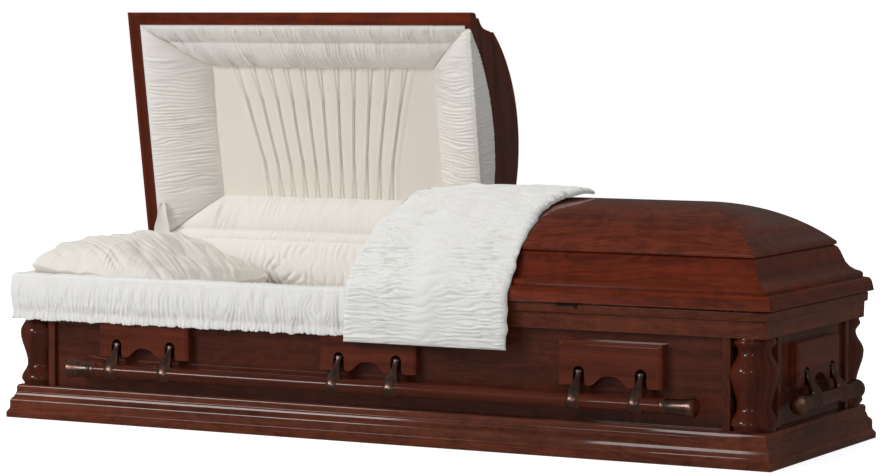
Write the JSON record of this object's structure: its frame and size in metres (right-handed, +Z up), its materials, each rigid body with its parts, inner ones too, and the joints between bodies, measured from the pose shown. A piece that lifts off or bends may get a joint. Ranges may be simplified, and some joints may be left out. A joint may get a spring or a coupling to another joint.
{
  "type": "funeral casket",
  "caption": "Half-couch hardwood funeral casket with moulded base, turned corner columns, swing-bar handles, arched hinged lids, upholstered interior, pillow, apron and throw.",
  "frame": {"origin": "middle of the underside, where the casket stands on a bier or truck", "axes": "+X along the length towards the foot end, +Y across towards the hinges, +Z up"},
  "size_m": [2.188, 0.8761, 1.0448],
  "materials": {
    "body_wood": "dark cherry stain, full gloss lacquer",
    "turned_wood": "dark cherry stain, full gloss lacquer",
    "crown_wood": "figured cherry veneer, full gloss lacquer",
    "plain_wood": "bare board",
    "bronze": "oil-rubbed bronze with copper worn edges",
    "hinge_steel": "dull plated steel",
    "bed_steel": "grey paint",
    "black_steel": "black",
    "lining_cloth": "matte off-white crepe",
    "bedding": "matte off-white crepe",
    "throw_cloth": "matte off-white crepe"
  },
  "bodies": {
    "body": {"base_moulding": "body_wood", "floor_board": "plain_wood", "front_panel": "body_wood", "back_panel": "body_wood", "head_panel": "body_wood", "foot_panel": "body_wood", "post_front_head": "body_wood", "post_front_foot": "body_wood", "post_back_head": "body_wood", "post_back_foot": "body_wood", "column_front_head": "turned_wood", "column_front_foot": "turned_wood", "column_back_head": "turned_wood", "column_back_foot": "turned_wood", "rim_lower": "body_wood", "rim_upper": "body_wood", "lid_catch": "black_steel", "plaque_front_head": "turned_wood", "plaque_front_middle": "turned_wood", "plaque_front_foot": "turned_wood", "plaque_back_head": "turned_wood", "plaque_back_middle": "turned_wood", "plaque_back_foot": "turned_wood", "plaque_head": "turned_wood", "plaque_foot": "turned_wood", "lugs_front": "bronze", "lugs_back": "bronze", "lugs_head": "bronze", "lugs_foot": "bronze", "hinge_body_leaves": "hinge_steel", "interior_lining": "lining_cloth", "bed_frame": "bed_steel", "mattress": "bedding", "pillow": "bedding", "apron": "throw_cloth"},
    "front_handle": {"bar_front": "turned_wood", "arms_front": "bronze", "tips_front": "bronze"},
    "back_handle": {"bar_back": "turned_wood", "arms_back": "bronze", "tips_back": "bronze"},
    "head_handle": {"bar_head": "turned_wood", "arms_head": "bronze", "tips_head": "bronze"},
    "foot_handle": {"bar_foot": "turned_wood", "arms_foot": "bronze", "tips_foot": "bronze"},
    "head_lid": {"head_lid_moulding": "body_wood", "head_lid_crown": "crown_wood", "head_lid_header": "body_wood", "hinge_head_leaves": "hinge_steel", "head_lid_lining": "lining_cloth"},
    "foot_lid": {"foot_lid_moulding": "body_wood", "foot_lid_crown": "crown_wood", "foot_lid_header": "body_wood", "hinge_foot_leaves": "hinge_steel", "foot_lid_lining": "lining_cloth", "throw": "throw_cloth"}
  },
  "joints": [
    {"name": "head_lid_hinge", "type": "hinge", "parent": "body", "child": "head_lid", "pos_m": [0, 0.344, 0.377], "axis": [1, 0, 0], "range_deg": [0, 81]},
    {"name": "foot_lid_hinge", "type": "hinge", "parent": "body", "child": "foot_lid", "pos_m": [0, 0.344, 0.377], "axis": [1, 0, 0], "range_deg": [-81, 0]},
    {"name": "front_handle_swing", "type": "hinge", "parent": "body", "child": "front_handle", "pos_m": [0, -0.32, 0.203], "axis": [-1, 0, 0], "range_deg": [0, 75]},
    {"name": "back_handle_swing", "type": "hinge", "parent": "body", "child": "back_handle", "pos_m": [0, 0.32, 0.203], "axis": [1, 0, 0], "range_deg": [0, 75]},
    {"name": "head_handle_swing", "type": "hinge", "parent": "body", "child": "head_handle", "pos_m": [-1.045, 0, 0.203], "axis": [0, 1, 0], "range_deg": [0, 75]},
    {"name": "foot_handle_swing", "type": "hinge", "parent": "body", "child": "foot_handle", "pos_m": [1.045, 0, 0.203], "axis": [0, -1, 0], "range_deg": [0, 75]}
  ]
}
